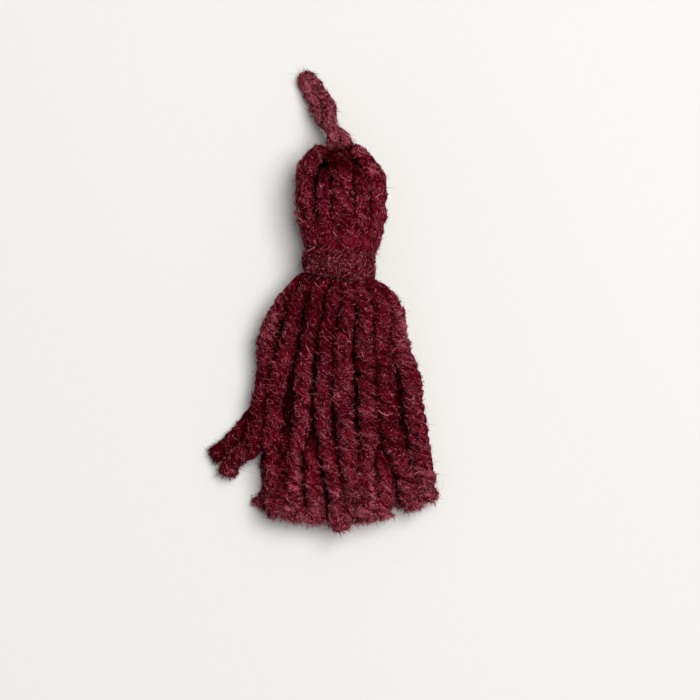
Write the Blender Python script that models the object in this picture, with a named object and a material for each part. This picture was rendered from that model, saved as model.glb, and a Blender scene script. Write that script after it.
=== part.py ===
"""Wool yarn tassel, lying on its back with its hem towards -Y and its hanging loop towards +Y.

A hank of two-ply yarn is folded over the hanging loop. The fold makes the ribbed head, a second
yarn wound twice round the neck binds it, and the cut ends below the neck are the skirt.
The layout is worked out in millimetres, from the middle of the neck: x to the right, y towards
the loop, z up from the surface that the tassel lies on.
"""

import math
from collections import namedtuple

import bpy
import numpy as np
from mathutils import Matrix

MM = 0.001

# Yarn of the hank
YARN_HALF = 1.85  # half the width across both plies
YARN_FLAT = 0.72  # thickness across the plies, as a share of their width
YARN_PITCH = 8.6  # length of one turn of the two plies
STEPS_ON_TOP = 8  # rings to a turn of yarn on the strands that show
STEPS_BELOW = 6  # the same on those that lie below them
LEVEL_HEIGHT = 1.62  # height of the middle of a strand that lies on the surface
LEVEL_STEP = 3.6  # ring spacing on those strands

# Head
HEAD_FLATNESS = 0.92  # the head's height as a share of its width, lying down
# Directions of the ribs round the head, in degrees: 0 is to the right and 90 is up.
RIB_CRESTS = [10, 40, 66, 90, 117, 152, 182, 209, 236, 262, 289, 316, 343]
POINTS_TO_A_RIB = 4

# Neck and its binding
NECK_HEIGHT = 8.9  # height of the neck's middle
NECK_TILT = 0.14  # the binding runs down to the right by this slope
NECK_TILT_FADE = 14.0  # the tilt dies out this far from the neck
BINDING_MIDDLE_RADIUS = 7.35
BINDING_HALF_RADIAL = 1.05
BINDING_HALF_ALONG = 1.5
BINDING_SPACING = 3.25
BINDING_SIDES = 8
BINDING_STEP = 1.9

# Hanging loop: one thinner yarn, doubled
LOOP_RADIUS = 1.36
LOOP_LEG_SPACING = 3.08
LOOP_SIDES = 8
LOOP_STEP = 1.25

# The mound that the upper strands lie on. Each row is its section at one distance below the
# neck's middle: its sideways shift, half its width, the heights of its left foot, right foot
# and crown, and how round it is (0.5 is half an ellipse, less is flatter on top).
Mound = namedtuple("Mound", "below shift half left right crown round")
MOUND = [
    Mound(2.0, 0.0, 4.6, 8.9, 8.9, 12.9, 0.50),
    Mound(3.6, -0.1, 5.9, 8.8, 8.6, 13.2, 0.50),
    Mound(5.0, -0.4, 8.6, 8.5, 8.1, 13.7, 0.48),
    Mound(6.4, -0.8, 11.6, 8.0, 7.4, 14.1, 0.46),
    Mound(8.4, -1.1, 13.6, 7.4, 6.2, 14.5, 0.44),
    Mound(13.0, -1.8, 15.6, 6.4, 4.2, 13.9, 0.43),
    Mound(18.0, -2.0, 16.6, 5.8, 3.0, 12.7, 0.42),
    Mound(27.6, -1.7, 18.2, 5.4, 2.2, 10.9, 0.40),
    Mound(37.2, -0.9, 19.4, 5.0, 1.9, 10.1, 0.40),
    Mound(50.0, 0.4, 20.4, 4.6, 1.9, 9.7, 0.40),
    Mound(64.0, 0.6, 20.8, 4.4, 1.9, 9.5, 0.40),
]

# A strand's place across the skirt at some distances below the neck's middle (at_8 at 8.4 mm,
# and so on, as in STATIONS), the place and distance of its cut end, its lift off the layer,
# and the twist that the yarn starts with, in turns.
Strand = namedtuple("Strand", "at_8 at_18 at_28 at_37 at_45 at_52 end reach lift turn")
STATIONS = [8.4, 18.0, 27.6, 37.2, 44.6, 51.8]
# How far a strand has opened out on its way from the neck to the first station: the distance
# below the neck's middle, and the share of its place there.
OPENING = [(2.0, 0.30), (3.6, 0.39), (5.0, 0.60), (6.4, 0.85)]

OVER = [
    Strand(-9.5, -12.2, -15.2, -15.8, -16.3, -15.9, -14.7, 59.8, 0.1, 0.45),
    Strand(-5.8, -7.6, -8.9, -9.5, -10.9, -11.6, -10.3, 61.7, 0.3, 0.75),
    Strand(-2.0, -3.4, -4.5, -4.2, -3.0, -1.9, 0.0, 63.8, -0.2, 0.20),
    Strand(1.7, 0.8, -0.1, 0.9, 1.7, 2.4, 2.6, 55.6, 0.7, 0.60),
    Strand(5.2, 4.9, 6.0, 6.7, 6.4, 6.5, 5.6, 62.2, -0.1, 0.95),
    Strand(8.6, 9.0, 10.5, 10.9, 11.2, 11.5, 10.1, 61.9, 0.3, 0.35),
    Strand(11.6, 13.4, 15.7, 17.4, 18.8, 20.0, 20.3, 57.2, 0.0, 0.80),
]
BETWEEN = [
    Strand(-7.0, -9.2, -11.7, -12.4, -12.9, -12.8, -12.2, 59.0, 0.5, 0.10),
    Strand(-3.6, -5.4, -6.7, -6.9, -6.9, -6.7, -5.5, 62.2, 0.1, 0.55),
    Strand(0.2, 1.4, 3.0, 3.6, 4.0, 4.2, 4.0, 60.5, 0.0, 0.30),
    Strand(4.4, 6.5, 8.2, 8.8, 8.9, 8.8, 8.2, 60.8, 0.3, 0.85),
]
BETWEEN_DROP = 3.85  # how far the strands between lie below the mound

# The strands underneath, level on the surface. Those in the middle lie evenly round
# UNDER_MIDDLE, as far apart as UNDER_SPACING; the outer two are placed.
UNDER_MIDDLE = -1.0
UNDER_SPACING = 4.15
UNDER_REACH = [60.0, 61.2, 61.8, 61.4, 59.4]
UNDER_OPENING = [(2.0, 0.30), (3.6, 0.38), (5.0, 0.48), (6.4, 0.60), (8.4, 0.76), (14.0, 0.95), (22.0, 1.0)]
# Height of their middle lines at some distances below the neck's middle
UNDER_HEIGHT = [(2.0, 5.6), (3.6, 5.3), (5.0, 4.8), (6.4, 4.2), (8.4, 3.2), (12.5, 1.8), (16.0, LEVEL_HEIGHT)]
UNDER_OUTER = [
    Strand(-10.2, -13.2, -13.9, -15.2, -16.0, -17.3, -19.3, 58.2, 0.0, 0.0),
    Strand(9.7, 12.6, 13.2, 14.1, 14.9, 15.9, 16.9, 59.2, 0.0, 0.0),
]
# The two strands that part from the skirt on the left: points of each (x, y, z), placed by
# hand. The upper one lies over the lower one.
UPPER_STRAY = [
    (-4.2, -2.0, 9.3),
    (-5.4, -3.6, 9.3),
    (-8.3, -5.0, 9.2),
    (-11.7, -6.4, 8.9),
    (-13.9, -8.6, 8.4),
    (-15.8, -12.6, 7.7),
    (-17.3, -18.0, 6.8),
    (-18.6, -27.6, 6.0),
    (-19.3, -34.0, 5.9),
    (-20.6, -39.0, 5.9),
    (-23.0, -42.9, 5.2),
    (-25.4, -45.4, 4.2),
    (-26.6, -48.0, 2.6),
    (-26.7, -50.2, 1.9),
]
LOWER_STRAY = [
    (-3.6, -2.0, 6.6),
    (-4.7, -3.6, 6.3),
    (-6.8, -5.0, 5.8),
    (-9.8, -6.4, 5.0),
    (-13.3, -8.6, 4.1),
    (-15.9, -12.8, 2.3),
    (-17.2, -18.0, LEVEL_HEIGHT),
    (-18.1, -27.0, LEVEL_HEIGHT),
    (-20.3, -33.2, LEVEL_HEIGHT),
    (-23.0, -37.6, LEVEL_HEIGHT),
    (-26.4, -41.2, LEVEL_HEIGHT),
    (-29.6, -43.9, LEVEL_HEIGHT),
    (-31.4, -45.4, LEVEL_HEIGHT),
]

# Half width of the yarn as it swells below the tight neck: distance below the neck, half width
SWELLING = [(2.0, 0.75), (3.6, 0.85), (5.0, 1.0), (6.4, 1.15), (8.4, 1.4), (14.0, 1.7), (20.0, YARN_HALF)]

# Outline of the head and of the neck inside the binding, from the skirt up to the dimple that
# the hanging loop comes out of: place along the tassel, half width, rib depth, height of the
# middle, sideways shift.
Ring = namedtuple("Ring", "along half depth height shift")
HEAD = [
    Ring(-7.6, 2.2, 0.1, 8.9, -0.3),
    Ring(-6.2, 4.2, 0.1, 8.9, -0.2),
    Ring(-4.4, 5.6, 0.2, 8.9, 0.0),
    Ring(0.0, 5.9, 0.3, 8.9, 0.0),
    Ring(3.6, 6.1, 0.5, 8.9, 0.0),
    Ring(4.7, 8.0, 0.8, 9.0, 0.0),
    Ring(6.6, 9.4, 1.1, 9.1, 0.0),
    Ring(10.4, 10.4, 1.3, 9.2, 0.0),
    Ring(14.6, 10.7, 1.5, 9.2, 0.0),
    Ring(18.4, 10.8, 1.6, 9.2, 0.0),
    Ring(22.2, 10.2, 1.6, 9.2, -0.4),
    Ring(25.1, 8.8, 1.5, 9.2, -0.7),
    Ring(27.4, 6.6, 1.1, 9.2, -1.1),
    Ring(28.4, 4.9, 0.6, 9.2, -1.0),
    Ring(28.1, 3.9, 0.3, 9.2, -0.6),
    Ring(27.2, 3.4, 0.1, 9.2, -0.4),
]

# Middle line of the hanging loop, from the dimple to the turn of the yarn, with the twist of
# its two legs in degrees at each point: 0 is side by side.
LoopPoint = namedtuple("LoopPoint", "x y z twist")
LOOP = [
    LoopPoint(-0.3, 27.8, 9.2, 190.0),
    LoopPoint(-0.4, 30.2, 9.0, 168.0),
    LoopPoint(-1.6, 32.8, 8.1, 90.0),
    LoopPoint(-3.4, 36.0, 6.0, 36.0),
    LoopPoint(-5.8, 40.2, 3.2, 8.0),
    LoopPoint(-8.1, 44.1, 1.45, 0.0),
]

WOOL = (0.12, 0.012, 0.021)
WOOL_ROUGHNESS = 0.95


def clear_scene():
    for obj in list(bpy.data.objects):
        bpy.data.objects.remove(obj)


def wool(name, shade):
    """Matt dyed wool; shade makes it a little lighter or darker."""
    made = bpy.data.materials.new(name)
    made.use_nodes = True
    surface = made.node_tree.nodes["Principled BSDF"]
    surface.inputs["Base Color"].default_value = [*(shade * c for c in WOOL), 1.0]
    surface.inputs["Roughness"].default_value = WOOL_ROUGHNESS
    surface.inputs["Metallic"].default_value = 0.0
    made.diffuse_color = surface.inputs["Base Color"].default_value
    return made


def through(knots, values, at):
    """Values at the places at, on smooth cubics through the knots. The slope at a knot is the
    weighted mean of the slopes of its two spans."""
    knots, values = np.asarray(knots, float), np.asarray(values, float)
    flat = values.ndim == 1
    values = values.reshape(len(knots), -1)
    step = np.diff(knots)[:, None]
    span = np.diff(values, axis=0) / step
    inner = (span[:-1] * step[1:] + span[1:] * step[:-1]) / (step[1:] + step[:-1])
    slope = np.vstack([span[:1], inner, span[-1:]])
    i = np.clip(np.searchsorted(knots, at, side="right") - 1, 0, len(knots) - 2)
    h = step[i]
    t = ((np.asarray(at, float) - knots[i]) / h[:, 0])[:, None]
    made = (
        (2 * t**3 - 3 * t**2 + 1) * values[i]
        + (t**3 - 2 * t**2 + t) * h * slope[i]
        + (3 * t**2 - 2 * t**3) * values[i + 1]
        + (t**3 - t**2) * h * slope[i + 1]
    )
    return made[:, 0] if flat else made


def distance_along(points):
    return np.concatenate([[0], np.cumsum(np.linalg.norm(np.diff(points, axis=0), axis=1))])


def evenly(points, step):
    """A smooth line through the points, as points a step apart, and their distances along it."""
    points = np.asarray(points, float)
    rough = distance_along(points)
    fine = through(rough, points, np.linspace(0, rough[-1], 40 * len(points)))
    along = distance_along(fine)
    count = max(2, round(along[-1] / step) + 1)
    at = np.linspace(0, along[-1], count)
    return np.stack([np.interp(at, along, fine[:, k]) for k in range(3)], axis=1), at


def axes_along(line):
    """The direction of a line at each of its points, and two axes across it: one level, one up."""
    forward = np.gradient(line, axis=0)
    forward /= np.linalg.norm(forward, axis=1)[:, None]
    level = np.cross(forward, [0.0, 0.0, 1.0])
    level /= np.linalg.norm(level, axis=1)[:, None]
    return forward, level, np.cross(level, forward)


def turns_backwards(rings):
    """Whether rings of points run clockwise, seen from the far end of the tube."""
    middle = rings.mean(axis=1)
    spokes = rings - middle[:, None]
    area = np.cross(spokes, np.roll(spokes, -1, axis=1)).sum(axis=1)
    return (area * np.gradient(middle, axis=0)).sum() < 0


def tube(name, rings, surface):
    """A closed tube of triangles through rings of points (ring, point, xyz), in mm. A point
    below the surface that the tassel lies on is pressed up to it."""
    rings = np.array(rings, float)
    rings[..., 2] = np.maximum(rings[..., 2], 0.0)
    if turns_backwards(rings):
        rings = rings[:, ::-1]
    count, sides = rings.shape[:2]
    ring, side = np.meshgrid(np.arange(count - 1), np.arange(sides), indexing="ij")
    a, b = ring * sides + side, ring * sides + (side + 1) % sides
    c, d = b + sides, a + sides
    walls = np.concatenate([np.stack([a, b, c], -1), np.stack([a, c, d], -1)], 2).reshape(-1, 3)
    caps = [list(range(sides))[::-1], list(range((count - 1) * sides, count * sides))]
    mesh = bpy.data.meshes.new(name)
    mesh.from_pydata((rings.reshape(-1, 3) * MM).tolist(), [], walls.tolist() + caps)
    obj = bpy.data.objects.new(name, mesh)
    obj.data.materials.append(surface)
    bpy.context.scene.collection.objects.link(obj)
    return obj


def tilted(points):
    """Points near the neck, sheared so that the neck slopes with its binding."""
    points = np.array(points, float)
    fade = np.clip(1 - np.abs(points[..., 1]) / NECK_TILT_FADE, 0, 1)
    points[..., 1] -= NECK_TILT * points[..., 0] * fade
    return points


def mound_height(x, below):
    """Height of the mound: foot + (crown - foot) * (1 - u^2)^round, u being the place across it
    from -1 to 1."""
    rows = np.array(MOUND)
    shift, half, left, right, crown, power = through(rows[:, 0], rows[:, 1:], below).T
    u = np.clip((x - shift) / half, -1, 1)
    foot = left + (right - left) * (u + 1) / 2
    return foot + (crown - foot) * (1 - u * u) ** power


def placed_line(strand, opening):
    """Places across and distances below the neck of one strand's middle line."""
    open_at, share = np.array(opening).T
    knots = np.concatenate([open_at, STATIONS, [strand.reach]])
    across = np.concatenate([share * strand.at_8, strand[:6], [strand.end]])
    keep = knots <= strand.reach
    keep[:-1] &= knots[:-1] < strand.reach - 2.0
    below = np.linspace(knots[0], strand.reach, 32)
    return through(knots[keep], across[keep], below), below


def over_route(strand, drop=0.0):
    """A strand on the mound, or below it by the drop once it has left the neck."""
    across, below = placed_line(strand, OPENING)
    rise = np.clip((below - 8.0) / 14.0, 0, 1)
    sink = drop * np.clip(0.55 + 0.45 * (below - 2.0) / 5.0, 0, 1)
    height = mound_height(across, below) + strand.lift * rise - sink
    return np.stack([across, -below, height], axis=1)


def under_height(below):
    at, height = np.array(UNDER_HEIGHT).T
    return np.where(below < at[-1], through(at, height, np.minimum(below, at[-1])), height[-1])


def under_route(place, reach):
    """A strand that sinks from the neck to the surface and runs level on it."""
    at, share = np.array(UNDER_OPENING).T
    below = np.linspace(at[0], reach, 32)
    across = place * through(at, share, np.minimum(below, at[-1]))
    return np.stack([across, -below, under_height(below)], axis=1)


def under_outer_route(strand):
    across, below = placed_line(strand, OPENING)
    return np.stack([across, -below, under_height(below)], axis=1)


def half_width(line):
    below, half = np.array(SWELLING).T
    return np.interp(-line[:, 1], below, half)


def twisted_strand(name, route, steps, turn, surface):
    """Two plies, as a flat four-sided section that turns left-handed along the strand."""
    line, along = evenly(tilted(route), YARN_PITCH / steps)
    _, level, up = axes_along(line)
    half = half_width(line)
    half[-1] *= 0.8
    turned = 2 * math.pi * (turn + along / YARN_PITCH)
    rings = []
    for corner in range(4):
        angle = turned + corner * math.pi / 2
        size = half * (1.0 if corner % 2 == 0 else YARN_FLAT)
        sideways = (size * np.cos(angle))[:, None] * level
        rings.append(line + sideways + (size * np.sin(angle))[:, None] * up)
    return tube(name, np.stack(rings, axis=1), surface)


def level_strand(name, route, surface):
    """A strand pressed level by the surface: four sides, the lowest one flat on it."""
    line, _ = evenly(tilted(route), LEVEL_STEP)
    _, level, up = axes_along(line)
    half = half_width(line)
    half[-1] *= 0.8
    low = np.minimum(line[:, 2], half)
    rings = []
    for side, top in ((1, 1), (-1, 1), (-1, -1), (1, -1)):
        wide = side * half * (0.60 if top > 0 else 0.92)
        high = 0.9 * half if top > 0 else -low
        rings.append(line + wide[:, None] * level + high[:, None] * up)
    return tube(name, np.stack(rings, axis=1), surface)


def head_body(surface):
    """The folded hank and the neck: rings whose radius dips between the ribs as
    depth * (1 - |cos(pi t)|), t running from one crest to the next; flat where they rest."""
    crest = np.radians(RIB_CRESTS)
    span = np.diff(np.append(crest, crest[0] + 2 * math.pi))
    share = np.arange(POINTS_TO_A_RIB) / POINTS_TO_A_RIB
    angle = (crest[:, None] + span[:, None] * share).reshape(-1)
    dip = np.tile(1 - np.abs(np.cos(math.pi * share)), len(crest))
    rings = []
    for ring in reversed(HEAD):
        radius = ring.half - ring.depth * dip
        across = ring.shift + radius * np.cos(angle)
        height = ring.height + HEAD_FLATNESS * radius * np.sin(angle)
        rings.append(np.stack([across, np.full(len(angle), ring.along), height], axis=1))
    return tube("yarn_bundle", tilted(rings), surface)


def skirt_strands(surface):
    made = []
    for i, strand in enumerate(OVER):
        route = over_route(strand)
        made.append(twisted_strand(f"over_{i}", route, STEPS_ON_TOP, strand.turn, surface))
    for i, strand in enumerate(BETWEEN):
        route = over_route(strand, BETWEEN_DROP)
        made.append(twisted_strand(f"between_{i}", route, STEPS_BELOW, strand.turn, surface))
    for i, reach in enumerate(UNDER_REACH):
        place = UNDER_MIDDLE + UNDER_SPACING * (i - (len(UNDER_REACH) - 1) / 2)
        made.append(level_strand(f"under_{i}", under_route(place, reach), surface))
    for i, strand in enumerate(UNDER_OUTER):
        made.append(level_strand(f"under_outer_{i}", under_outer_route(strand), surface))
    made.append(twisted_strand("stray_upper", UPPER_STRAY, STEPS_ON_TOP, 0.3, surface))
    made.append(level_strand("stray_lower", LOWER_STRAY, surface))
    return made


def yarn_bundle(surface):
    """The head with every strand fused to it at the root."""
    head = head_body(surface)
    strands = bpy.data.collections.new("strands")
    bpy.context.scene.collection.children.link(strands)
    strands.hide_render = True
    for strand in skirt_strands(surface):
        bpy.context.scene.collection.objects.unlink(strand)
        strands.objects.link(strand)
        strand.hide_render = True
        strand.display_type = "WIRE"
    fuse = head.modifiers.new("fuse_strands", "BOOLEAN")
    fuse.operation = "UNION"
    fuse.solver = "EXACT"
    fuse.operand_type = "COLLECTION"
    fuse.collection = strands
    return head


def neck_binding(surface):
    """One yarn wound twice round the neck. It steps from the upper turn to the lower one, and
    has its two tucked ends, on the underside."""
    first_turn, last_turn = 0.13, 1.87
    crossing_from, crossing_to = 0.86, 1.14
    middle = 2 * math.pi * BINDING_MIDDLE_RADIUS
    count = round((last_turn - first_turn) * middle / BINDING_STEP)
    turn = np.linspace(first_turn, last_turn, count)
    step = np.clip((turn - crossing_from) / (crossing_to - crossing_from), 0, 1)
    along = BINDING_SPACING * (0.5 - step * step * (3 - 2 * step))
    # A turn starts on the underside and rises on the left.
    angle = -math.pi / 2 - 2 * math.pi * turn
    outward = np.stack([np.cos(angle), np.zeros(count), np.sin(angle)], axis=1)
    centre = BINDING_MIDDLE_RADIUS * outward * [1, 1, HEAD_FLATNESS]
    centre += np.stack([np.zeros(count), along, np.full(count, NECK_HEIGHT)], axis=1)
    corner = 1 / math.cos(math.pi / BINDING_SIDES)
    rings = []
    for side in range(BINDING_SIDES):
        a = 2 * math.pi * (side + 0.5) / BINDING_SIDES
        radial = corner * BINDING_HALF_RADIAL * math.cos(a) * outward
        rings.append(centre + radial + np.array([0, corner * BINDING_HALF_ALONG * math.sin(a), 0]))
    return tube("neck_binding", tilted(np.stack(rings, axis=1)), surface)


def hanging_loop(surface):
    """One yarn, doubled: out along one leg, round a tight turn and back along the other."""
    points = np.array([p[:3] for p in LOOP])
    twist = np.radians([p.twist for p in LOOP])
    rough = distance_along(points)
    at = np.linspace(0, rough[-1], 60)
    middle = through(rough, points, at)
    forward, level, up = axes_along(middle)
    angle = through(rough, twist, at)
    across = np.cos(angle)[:, None] * level + np.sin(angle)[:, None] * up
    half = LOOP_LEG_SPACING / 2
    turn = np.linspace(0, math.pi, 9)[1:-1, None]
    bight = middle[-1] + half * (np.cos(turn) * across[-1] + np.sin(turn) * forward[-1])
    route = np.vstack([middle + half * across, bight, (middle - half * across)[::-1]])
    line, _ = evenly(route, LOOP_STEP)
    return tube("hanging_loop", round_rings(line, LOOP_RADIUS, LOOP_SIDES), surface)


def round_rings(line, radius, sides):
    """Rings of a round tube whose axes are carried along the line without spinning."""
    forward = np.gradient(line, axis=0)
    forward /= np.linalg.norm(forward, axis=1)[:, None]
    across = np.empty_like(line)
    start = np.cross(forward[0], [0.0, 0.0, 1.0])
    across[0] = start / np.linalg.norm(start)
    for i in range(1, len(line)):
        carried = across[i - 1] - across[i - 1].dot(forward[i]) * forward[i]
        across[i] = carried / np.linalg.norm(carried)
    upward = np.cross(across, forward)
    angle = 2 * math.pi * (np.arange(sides) + 0.5) / sides
    sideways = radius * np.cos(angle)[None, :, None] * across[:, None]
    return line[:, None] + sideways + radius * np.sin(angle)[None, :, None] * upward[:, None]


def set_on_origin():
    """Moves everything so that the middle of its footprint is the origin."""
    made = [obj for obj in bpy.data.objects if obj.type == "MESH"]
    points = np.vstack([[v.co for v in obj.data.vertices] for obj in made])
    middle = (points.min(0) + points.max(0)) / 2
    for obj in made:
        obj.data.transform(Matrix.Translation((-middle[0], -middle[1], 0.0)))


def main():
    clear_scene()
    yarn_bundle(wool("hank_wool", 1.0))
    neck_binding(wool("binding_wool", 1.1))
    hanging_loop(wool("loop_wool", 1.05))
    set_on_origin()


main()
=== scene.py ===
"""Wool yarn tassel, finished: every yarn of it with its two plies, its nap and its dyed wool.

The tassel lies on its back, hem towards -Y and hanging loop towards +Y. Its yarns are laid out
in millimetres from the middle of the neck (x to the right, y towards the loop, z up), and
put_in_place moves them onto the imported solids.
"""

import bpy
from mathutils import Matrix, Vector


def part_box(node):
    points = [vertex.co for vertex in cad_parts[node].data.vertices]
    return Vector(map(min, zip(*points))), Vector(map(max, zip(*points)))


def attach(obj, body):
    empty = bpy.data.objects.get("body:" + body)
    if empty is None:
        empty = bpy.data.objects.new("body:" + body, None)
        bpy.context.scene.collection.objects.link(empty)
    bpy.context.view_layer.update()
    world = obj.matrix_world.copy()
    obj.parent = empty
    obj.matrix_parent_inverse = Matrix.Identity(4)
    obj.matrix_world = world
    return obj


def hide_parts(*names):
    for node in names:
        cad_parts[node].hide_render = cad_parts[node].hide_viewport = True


bl_info = {
    "name": "Wool yarn tassel",
    "version": (1, 0, 0),
    "blender": (4, 5, 0),
    "location": "3D View > Sidebar > Tassel",
    "description": "A small tassel of thick twisted wool yarn, with its nap and its stage",
    "category": "Add Mesh",
}

import math
from collections import namedtuple

import bpy
import numpy as np
from bpy.props import FloatProperty, FloatVectorProperty, PointerProperty
from mathutils import Matrix

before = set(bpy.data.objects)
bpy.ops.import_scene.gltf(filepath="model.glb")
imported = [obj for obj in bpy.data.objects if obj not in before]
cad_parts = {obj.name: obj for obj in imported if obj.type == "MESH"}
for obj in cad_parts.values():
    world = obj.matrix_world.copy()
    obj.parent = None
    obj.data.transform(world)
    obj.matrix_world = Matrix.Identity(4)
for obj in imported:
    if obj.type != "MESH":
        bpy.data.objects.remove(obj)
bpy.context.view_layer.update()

MM = 0.001

# ---- Layout, repeated from the part's source, in millimetres from the middle of the neck

HEAD_FLATNESS = 0.92  # the head's height as a share of its width, lying down
HEAD_TOP = 28.4  # the head's highest ring above the neck
NECK_HEIGHT = 8.9
NECK_TILT = 0.10  # the binding runs down to the right by this slope
NECK_TILT_FADE = 14.0  # the tilt dies out this far from the neck
LEVEL_HEIGHT = 1.62  # height of the middle of a strand that lies on the surface
# Painted light and shade across the skirt just below the neck: how much lighter the wool is drawn
# at a place across it, darker left of the middle, lighter at the right and at the left edge
SHOULDER_LIGHT = [
    (-19, 0.5), (-14.6, 0.2), (-10.3, -0.34), (-6, -0.36), (0, -0.13), (4, -0.08),
    (8, 0.06), (12, 0.17), (16, 0.54),
]
SHOULDER_LIGHT_FADE = [(4, 0.3), (9, 1), (15, 1), (26, 0)]  # distance below, share of it

# The mound that the upper strands lie on. Each row is its section at one distance below the
# neck's middle: its sideways shift, half its width, the heights of its left foot, right foot
# and crown, and how round it is (0.5 is half an ellipse, less is flatter on top).
MOUND = [
    (2, 0, 4.6, 8.9, 8.9, 12.9, 0.5), (3.6, -0.1, 5.9, 8.8, 8.6, 13.2, 0.5),
    (5, -0.4, 8.6, 8.5, 8.1, 13.7, 0.48), (6.4, -0.8, 11.6, 8, 7.4, 14.1, 0.46),
    (8.4, -1.1, 13.6, 7.4, 6.2, 14.5, 0.44), (13, -1.8, 15.6, 6.4, 4.2, 13.9, 0.43),
    (18, -2, 16.6, 5.8, 3, 12.7, 0.42), (27.6, -1.7, 18.2, 5.4, 2.2, 10.9, 0.4),
    (37.2, -0.9, 19.4, 5, 1.9, 10.1, 0.4), (50, 0.4, 20.4, 4.6, 1.9, 9.7, 0.4),
    (64, 0.6, 20.8, 4.4, 1.9, 9.5, 0.4),
]

# A strand's place across the skirt at some distances below the neck's middle (at_8 at 8.4 mm,
# and so on, as in STATIONS), the place and distance of its cut end, its lift off the layer,
# the twist that the yarn starts with, in turns, how light its wool is, and its width as a share
# of a usual strand's.
Strand = namedtuple("Strand", "at_8 at_18 at_28 at_37 at_45 at_52 end reach lift turn tone girth")
STATIONS = [8.4, 18, 27.6, 37.2, 44.6, 51.8]
# How far a strand has opened out on its way from the neck to the first station: the distance
# below the neck's middle, and the share of its place there.
OPENING = [(1, 0.34), (2.4, 0.38), (3.8, 0.5), (5, 0.66), (6.4, 0.86)]

OVER = [
    Strand(-9.5, -12.3, -15, -16, -16.5, -15.9, -14.9, 60, 0.1, 0.45, 0.88, 0.97),
    Strand(-5.8, -7.4, -8.9, -9.5, -10.9, -11.6, -10.3, 61.2, 0.3, 0.75, 1, 0.93),
    Strand(-2, -3.4, -4.5, -4.3, -3, -1.6, 0.7, 63.2, -0.2, 0.2, 1, 0.93),
    Strand(1.5, 0.6, 0.2, 0.9, 1.7, 2.6, 3.3, 55.6, 0.7, 0.6, 0.99, 1.01),
    Strand(5.2, 5.4, 6.3, 6.5, 6.2, 6.4, 5.6, 61.2, -0.1, 0.95, 0.95, 1.04),
    Strand(8.6, 9.3, 10.2, 10.7, 12.9, 15.4, 17, 58.5, 0.3, 0.35, 0.76, 1.1),
    Strand(11.6, 13.7, 15.9, 17.8, 18.9, 19.8, 20.6, 56.5, 0, 0.8, 0.93, 1.1),
]
BETWEEN = [
    Strand(-7, -9.2, -11.7, -12.4, -12.9, -12.8, -12.4, 60.6, 1.7, 0.1, 1.1, 1),
    Strand(-3.6, -5.4, -6.7, -6.9, -6.9, -6.7, -5.5, 61.8, 0.1, 0.55, 0.98, 0.97),
    Strand(0.2, 1.6, 3.2, 3.8, 4, 4.2, 4, 61.6, 0, 0.3, 0.97, 1),
    Strand(4.4, 6.9, 8.3, 8.9, 9.4, 10, 9.2, 60.7, 0.3, 0.85, 0.98, 1),
]
# How far the strands between lie below the mound, and how much light their wool gets there:
# distance below the neck, drop, share of light
BETWEEN_DEPTH = [
    (2, 2.1, 1), (7, 3.6, 0.8), (14, 4.4, 0.32),
    (38, 4.2, 0.32), (47, 2.6, 0.9), (62, 1.7, 1),
]

UNDER_MIDDLE = -1.0
UNDER_SPACING = 4.15
UNDER_REACH = [61, 61.8, 62.8, 61.8, 61.2]
UNDER_OPENING = [
    (2, 0.3), (3.6, 0.38), (5, 0.48), (6.4, 0.6), (8.4, 0.76), (14, 0.95), (22, 1),
]
# Height of their middle lines at some distances below the neck's middle
UNDER_HEIGHT = [
    (2, 5.6), (3.6, 5.3), (5, 4.8), (6.4, 4.2), (8.4, 3.2), (12.5, 1.8), (16, LEVEL_HEIGHT),
]
UNDER_OUTER = [
    Strand(-11.2, -14.4, -14.6, -15.2, -17.1, -16.8, -19.5, 58.3, 0, 0, 0.95, 1),
    Strand(9.7, 12.6, 13.4, 14.5, 15.4, 14.4, 13.2, 57.9, 0, 0, 0.95, 1.05),
]
# The two strands that part from the skirt on the left: points of each (x, y, z). The upper
# one lies over the lower one.
UPPER_STRAY = [
    (-4.4, -1.7, 9.3), (-6.6, -2.7, 9.3), (-9, -3.9, 9.2), (-11, -5.7, 8.9),
    (-13.1, -8.7, 8.4), (-15.6, -12.6, 7.7), (-17.2, -17, 6.9), (-18.1, -27.6, 6),
    (-19, -34, 5.9), (-20.2, -39.8, 5.9), (-21.7, -43.8, 5.2), (-24.6, -46.1, 4.2),
    (-26.4, -48.4, 2.8), (-26.7, -50.2, 1.9),
]
LOWER_STRAY = [
    (-3.6, -2, 6.6), (-4.7, -3.6, 6.3), (-6.6, -4.6, 5.8), (-9.3, -6, 5),
    (-12.6, -8.6, 4.1), (-15.1, -12.6, 2.3), (-16.9, -18, LEVEL_HEIGHT),
    (-17.9, -27, LEVEL_HEIGHT), (-19.7, -33.5, LEVEL_HEIGHT), (-22.5, -38.1, LEVEL_HEIGHT),
    (-26, -41.7, LEVEL_HEIGHT), (-29.4, -44.2, LEVEL_HEIGHT), (-31.4, -45.4, LEVEL_HEIGHT),
]
# The yarn's width as it swells below the tight neck: distance below the neck, and the share
# of its full width
SWELLING = [
    (2, 0.55), (3.6, 0.6), (5, 0.67), (6.4, 0.74), (8.4, 0.83), (14, 0.94), (20, 1),
]
UPPER_FLATNESS = 0.95  # a strand's thickness as a share of its width
LOWER_FLATNESS = 0.82  # the same for a strand that others press on

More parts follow.
